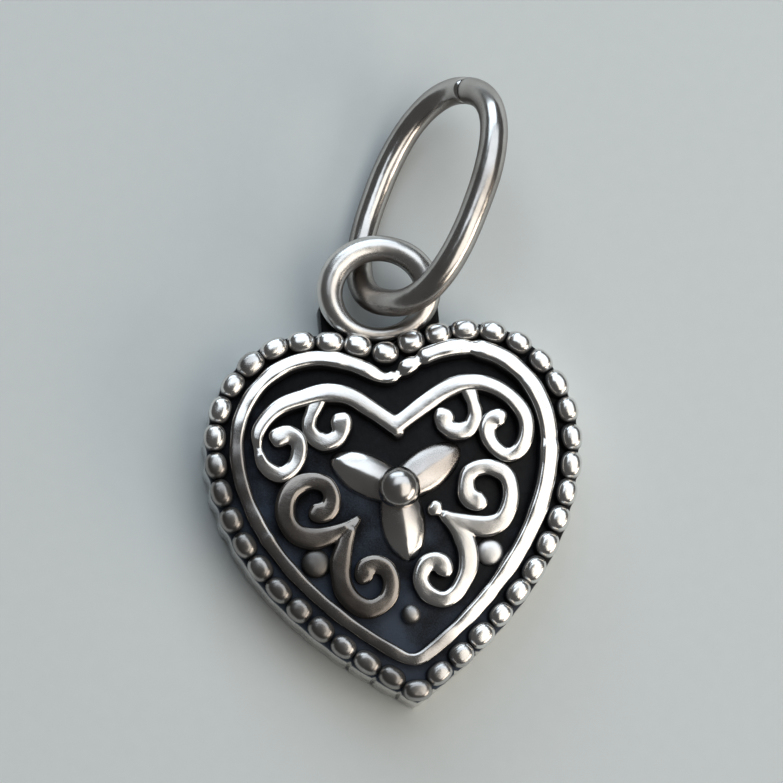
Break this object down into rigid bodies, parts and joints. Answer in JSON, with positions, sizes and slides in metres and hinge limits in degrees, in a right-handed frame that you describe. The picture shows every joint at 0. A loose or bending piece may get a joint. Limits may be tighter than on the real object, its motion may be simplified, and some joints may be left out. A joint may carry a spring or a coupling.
{
  "type": "heart charm",
  "caption": "Flat heart charm with a granulated border, raised wire scrolls and a three-petal flower, hung by a soldered wire loop and a loose oval jump ring.",
  "frame": {"origin": "on the flat back face, on the heart's middle line, level with the middle of the heart's height", "axes": "+X to the heart's right as seen from the front, +Y toward the loop and the jump ring, +Z out of the decorated face"},
  "size_m": [0.012, 0.0201, 0.0046],
  "materials": {
    "polished_silver": "polished sterling silver with hand-worn tops and fine scratches",
    "worn_silver": "the same silver, duller, with grey film left by the oxidising bath",
    "oxidised_silver": "blue-black oxidised silver, rubbed bright along exposed edges"
  },
  "bodies": {
    "heart": {"heart_plate": "oxidised_silver", "border_bead_01": "polished_silver", "border_bead_02": "polished_silver", "border_bead_03": "polished_silver", "border_bead_04": "polished_silver", "border_bead_05": "polished_silver", "border_bead_06": "polished_silver", "border_bead_07": "polished_silver", "border_bead_08": "polished_silver", "border_bead_09": "polished_silver", "border_bead_10": "polished_silver", "border_bead_11": "polished_silver", "border_bead_12": "polished_silver", "border_bead_13": "polished_silver", "border_bead_14": "polished_silver", "border_bead_15": "polished_silver", "border_bead_16": "polished_silver", "border_bead_17": "polished_silver", "border_bead_18": "polished_silver", "border_bead_19": "polished_silver", "border_bead_20": "polished_silver", "border_bead_21": "polished_silver", "border_bead_22": "polished_silver", "border_bead_23": "polished_silver", "border_bead_24": "polished_silver", "border_bead_25": "polished_silver", "border_bead_26": "polished_silver", "border_bead_27": "polished_silver", "border_bead_28": "polished_silver", "border_bead_29": "polished_silver", "border_bead_30": "polished_silver", "border_bead_31": "polished_silver", "border_bead_32": "polished_silver", "border_bead_33": "polished_silver", "border_bead_34": "polished_silver", "border_bead_35": "polished_silver", "border_bead_36": "polished_silver", "border_bead_37": "polished_silver", "border_bead_38": "polished_silver", "border_bead_39": "polished_silver", "border_bead_40": "polished_silver", "rim_wire": "polished_silver", "arch_scroll": "polished_silver", "arch_curl_left": "polished_silver", "arch_curl_right": "polished_silver", "fork_scroll_left": "worn_silver", "fork_scroll_right": "polished_silver", "flower_ball": "polished_silver", "petal_left": "polished_silver", "petal_right": "polished_silver", "petal_lower": "polished_silver", "dot_left": "polished_silver", "dot_right": "polished_silver", "dot_lower": "polished_silver", "hanger_loop": "polished_silver", "loop_saddle": "oxidised_silver"},
    "jump_ring": {"jump_ring": "polished_silver"}
  },
  "joints": [
    {"name": "ring_swing", "type": "hinge", "parent": "heart", "child": "jump_ring", "pos_m": [0, 0.00699, 0.00174], "axis": [0, 0, 1], "range_deg": [-80, 45]}
  ]
}
